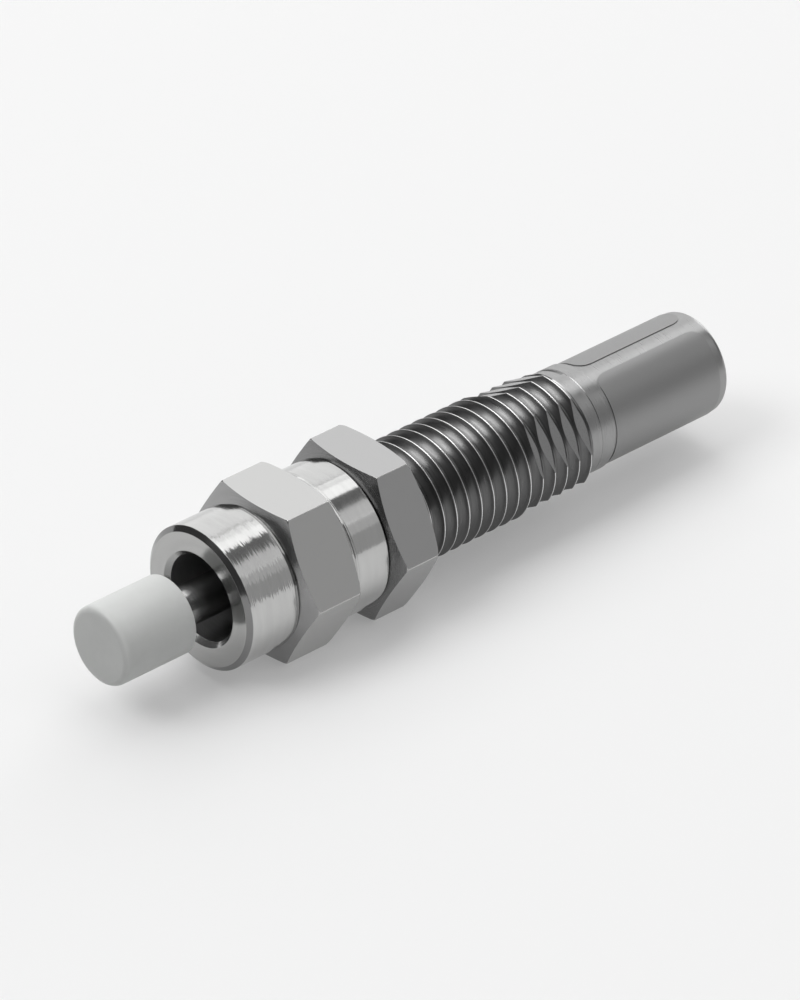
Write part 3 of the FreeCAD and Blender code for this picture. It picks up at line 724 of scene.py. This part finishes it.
stop_sleeve = lathe("stop_sleeve_body", softened([
    (SLEEVE_FACE, SLEEVE_BORE_RADIUS + SLEEVE_BORE_MOUTH, SMALL_EDGE),
    (SLEEVE_FACE, CHAMFER_RADIUS, SMALL_EDGE),
    (CHAMFER_END, FRONT_COLLAR_RADIUS, FRONT_EDGE),
    (FRONT_COLLAR_END, FRONT_COLLAR_RADIUS, REAR_EDGE),
    (FRONT_COLLAR_END, UNDERCUT_RADIUS),
    (HEX_START, UNDERCUT_RADIUS),
    cone_top(HEX_START, UNDERCUT_RADIUS, 1, FRONT_CORNER),
    cone_top(HEX_END, REAR_COLLAR_RADIUS, -1, REAR_CORNER),
    (HEX_END, REAR_COLLAR_RADIUS),
    # Two fine turning grooves
    (REAR_COLLAR_START, REAR_COLLAR_RADIUS),
    (-5.95, 4.722),
    (-5.92, 4.722),
    (-5.87, REAR_COLLAR_RADIUS),
    (-5.78, REAR_COLLAR_RADIUS),
    (-5.755, 4.737),
    (-5.73, REAR_COLLAR_RADIUS),
    (SLEEVE_REAR - SLEEVE_REAR_CHAMFER, REAR_COLLAR_RADIUS, REAR_EDGE),
    (SLEEVE_REAR, REAR_COLLAR_RADIUS - SLEEVE_REAR_CHAMFER, SMALL_EDGE),
    (SLEEVE_REAR, THREAD_MOUTH_RADIUS),
    (SLEEVE_REAR - THREAD_MOUTH, INTERNAL_THREAD_RADIUS),
    (SLEEVE_THREAD_START, INTERNAL_THREAD_RADIUS),
    (SLEEVE_THREAD_START, SLEEVE_BORE_RADIUS),
    (SLEEVE_FACE + SLEEVE_BORE_MOUTH, SLEEVE_BORE_RADIUS, SMALL_EDGE),
]))
combine(stop_sleeve, "INTERSECT", hexagon_bar("hexagon", -16, 0))
bevel(stop_sleeve, FINE_BEVEL)
finish_piece(stop_sleeve, "stop_sleeve_body", plated_steel, ["stop_sleeve"])
dress(stop_sleeve, faced_steel, on_face)
dress(stop_sleeve, cone_metal_painted_shade, on_cone)
dress(stop_sleeve, front_cone_metal_painted_shade, on_front_cone)
dress(stop_sleeve, chamfer_metal_painted_shade, on_front_chamfer)
dress(stop_sleeve, collar_steel, on_rear_collar)
dress(stop_sleeve, sleeve_flat, on_flat)
dress(stop_sleeve, bore_metal_painted_shade, in_bore)

lock_nut = lathe("lock_nut_body", softened([
    (NUT_FRONT, THREAD_MOUTH_RADIUS),
    (NUT_FRONT, NUT_FRONT_RADIUS),
    cone_top(NUT_FRONT, NUT_FRONT_RADIUS, 1, FRONT_CORNER),
    cone_top(NUT_REAR, NUT_REAR_RADIUS, -1, REAR_CORNER),
    (NUT_REAR, NUT_REAR_RADIUS),
    (NUT_REAR, THREAD_MOUTH_RADIUS),
    (NUT_REAR - THREAD_MOUTH, INTERNAL_THREAD_RADIUS),
    (NUT_FRONT + THREAD_MOUTH, INTERNAL_THREAD_RADIUS),
]))
combine(lock_nut, "INTERSECT", hexagon_bar("hexagon", -6, 3))
bevel(lock_nut, FINE_BEVEL)
finish_piece(lock_nut, "lock_nut_body", plated_steel, ["lock_nut"])
dress(lock_nut, faced_steel, on_face)
dress(lock_nut, cone_metal_painted_shade, on_cone)
dress(lock_nut, nut_flat, on_flat)


# Rod set

BUFFER_FRONT, BUFFER_REAR = -21.7, -16.4
BUFFER_RADIUS = 2.5
SOCKET_RADIUS = 1.26
ROD_FRONT, ROD_REAR = -20.0, 7.5
ROD_RADIUS = 1.25
ROD_CHAMFER = 0.3
JOURNAL_START = 4.05
JOURNAL_RADIUS = 0.8
CLIP_START, CLIP_END, CLIP_RADIUS = 6.80, 7.12, 0.6

buffer_head = lathe("buffer_head", softened([
    (BUFFER_FRONT, 0),
    (BUFFER_FRONT, BUFFER_RADIUS, 0.42),
    (BUFFER_REAR, BUFFER_RADIUS, 0.1),
    (BUFFER_REAR, SOCKET_RADIUS),
    (ROD_FRONT, SOCKET_RADIUS),
    (ROD_FRONT, 0),
], step=9))
finish_piece(buffer_head, "rod_set", white_plastic, ["buffer"])

piston_rod = lathe("rod_shaft", [
    (ROD_FRONT, 0),
    (ROD_FRONT, ROD_RADIUS - ROD_CHAMFER),
    (ROD_FRONT + ROD_CHAMFER, ROD_RADIUS),
    (JOURNAL_START, ROD_RADIUS),
    (JOURNAL_START, JOURNAL_RADIUS),
    (CLIP_START, JOURNAL_RADIUS),
    (CLIP_START, CLIP_RADIUS),
    (CLIP_END, CLIP_RADIUS),
    (CLIP_END, JOURNAL_RADIUS),
    (ROD_REAR, JOURNAL_RADIUS),
    (ROD_REAR, 0),
])
finish_piece(piston_rod, "rod_set", ground_steel, ["piston_rod"])


# Return spring

def coil(name, front, rear, mean_radius, wire, turns, steps=36, sides=12):
    """A round wire, of half thickness wire, wound about the X axis from one end to the other."""
    length = rear - front - 2 * wire
    count = int(turns * steps)
    vertices = []
    for i in range(count + 1):
        turn = 360 * i / steps
        centre_x = front + wire + length * i / count
        for k in range(sides):
            angle = 2 * math.pi * k / sides
            radius = mean_radius + wire * math.sin(angle)
            vertices.append(around(centre_x + wire * math.cos(angle), radius, turn))
    faces = []
    for i in range(count):
        a, b = i * sides, (i + 1) * sides
        faces += [[a + k, a + (k + 1) % sides, b + (k + 1) % sides, b + k] for k in range(sides)]
    faces += [list(range(sides)), list(range(count * sides, (count + 1) * sides))]
    return new_object(name, vertices, faces)


spring_low, spring_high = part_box("return_spring")
return_spring = coil(
    "spring_wire", spring_low.x / MM, spring_high.x / MM, mean_radius=1.6, wire=0.225, turns=9)
finish_piece(return_spring, "housing_set", spring_steel, ["return_spring"])
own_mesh(return_spring)


# The pieces inside keep their solids and get their finish

INNER_FINISH = {
    "retaining_ring": spring_steel,
    "front_washer": spring_steel,
    "rod_wiper": seal_rubber,
    "rod_seal": seal_rubber,
    "seal_washer": ring_plastic,
    "rod_bearing": bearing_bronze,
    "bearing_o_ring": seal_rubber,
    "accumulator_foam": foam_rubber,
    "pressure_tube": ground_steel,
    "spring_seat": spring_steel,
    "tube_end_cap": ground_steel,
    "fill_ball": ground_steel,
    "check_disc": spring_steel,
    "piston": bearing_bronze,
    "piston_ring": ring_plastic,
    "piston_washer": spring_steel,
    "retaining_clip": spring_steel,
}
for node, material in INNER_FINISH.items():
    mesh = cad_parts[node].data
    mesh.materials.clear()
    mesh.materials.append(material)


# Camera at the photograph's viewing angle

CAMERA_PLACE = (-0.237445, -0.254462, 0.224208)
CAMERA_ANGLES = (57.3127, -0.9151, -42.6470)
FOCAL_LENGTH = 315

camera = bpy.data.objects.new("camera", bpy.data.cameras.new("camera"))
camera.location = CAMERA_PLACE
camera.rotation_euler = [math.radians(angle) for angle in CAMERA_ANGLES]
camera.data.sensor_fit = "HORIZONTAL"
camera.data.sensor_width = 36
camera.data.lens = FOCAL_LENGTH
camera.data.clip_start = 0.01
camera.data.clip_end = 20
bpy.context.scene.collection.objects.link(camera)
bpy.context.scene.camera = camera


# Floor and light

def panel(name, place, turn, width, height, radiance):
    """A soft rectangular lamp, by its brightness as seen."""
    data = bpy.data.lights.new(name, "AREA")
    data.shape = "RECTANGLE"
    data.size = width
    data.size_y = height
    data.energy = radiance * math.pi * width * height
    lamp = bpy.data.objects.new(name, data)
    lamp.location = place
    lamp.rotation_euler = turn
    bpy.context.scene.collection.objects.link(lamp)


def aimed_panel(name, azimuth, elevation, width, height, radiance, distance=0.9):
    """A panel that faces the object, by its direction from +X towards +Y."""
    flat, rise = math.radians(azimuth), math.radians(elevation)
    toward = Vector((math.cos(flat) * math.cos(rise), math.sin(flat) * math.cos(rise), math.sin(rise)))
    panel(name, toward * distance, toward.to_track_quat("Z", "Y").to_euler(), width, height, radiance)


def level_panel(name, x_start, x_end, y_start, y_end, radiance, height=1.0):
    """A panel above the object that faces straight down."""
    middle = ((x_start + x_end) / 2, (y_start + y_end) / 2, height)
    panel(name, middle, (0, 0, 0), x_end - x_start, y_end - y_start, radiance)


# name, x_start, x_end, y_start, y_end, radiance
LEVEL_PANELS = [
    ("top_panel", -0.55, 0.5, -0.03, 0.5, 1.55),
    ("band_panel", 0.5, 1.0, -0.03, 0.29, 1.55),
    ("fill_panel", 0.5, 1.0, 0.29, 0.5, 1.15),
    ("thread_panel", -1.25, -0.55, -0.12, 0.7, 5.4),
    ("far_panel", -0.55, 0.5, 0.5, 1.3, 1.6),
    ("near_panel", -0.15, 0.45, -0.9, -0.03, 1.4),
]
# name, azimuth, elevation, width, height, radiance
AIMED_PANELS = [
    ("back_panel", 42, 24, 1.1, 0.8, 1.1),
    ("edge_panel", 18, 17, 0.35, 0.35, 2.4),
    ("front_panel", -38, 43, 0.5, 0.22, 0.70),
    ("middle_panel", -47, 30.5, 0.6, 0.20, 0.50),
    ("gap_panel", -14, 53, 0.35, 0.3, 0.05),
    ("side_panel", -53, 12, 0.9, 0.40, 0.32),
]
for values in LEVEL_PANELS:
    level_panel(*values)
for values in AIMED_PANELS:
    aimed_panel(*values)

FLOOR_REACH = 2
FLOOR_HEIGHT = -0.00502
FLOOR_COLOUR = (0.60, 0.60, 0.60, 1)
FLOOR_LIFT = 0.245
WORLD_LIGHT = 0.12
WHITE = (1, 1, 1, 1)

corners = [(-1, -1), (1, -1), (1, 1), (-1, 1)]
floor = new_object("floor", [(FLOOR_REACH * x, FLOOR_REACH * y, 0) for x, y in corners], [[0, 1, 2, 3]])
floor.location.z = FLOOR_HEIGHT
material, nodes, links, shader = node_material("pale_floor")
shader.inputs["Base Color"].default_value = FLOOR_COLOUR
shader.inputs["Roughness"].default_value = 0.9
shader.inputs["Specular IOR Level"].default_value = 0.1
path = nodes.new("ShaderNodeLightPath")
seen = nodes.new("ShaderNodeMath")
seen.operation = "MAXIMUM"
links.new(path.outputs["Is Camera Ray"], seen.inputs[0])
links.new(path.outputs["Is Glossy Ray"], seen.inputs[1])
seen_through = nodes.new("ShaderNodeMath")
seen_through.operation = "MAXIMUM"
links.new(seen.outputs[0], seen_through.inputs[0])
links.new(path.outputs["Is Transmission Ray"], seen_through.inputs[1])
lift = nodes.new("ShaderNodeMath")
lift.operation = "MULTIPLY"
lift.inputs[1].default_value = FLOOR_LIFT
links.new(seen_through.outputs[0], lift.inputs[0])
shader.inputs["Emission Color"].default_value = WHITE
links.new(lift.outputs[0], shader.inputs["Emission Strength"])
floor.data.materials.append(material)

world = bpy.data.worlds.new("studio")
bpy.context.scene.world = world
world.use_nodes = True
background = world.node_tree.nodes["Background"]
background.inputs["Color"].default_value = WHITE
background.inputs["Strength"].default_value = WORLD_LIGHT

bpy.context.scene.view_settings.view_transform = "Standard"

bpy.context.view_layer.update()
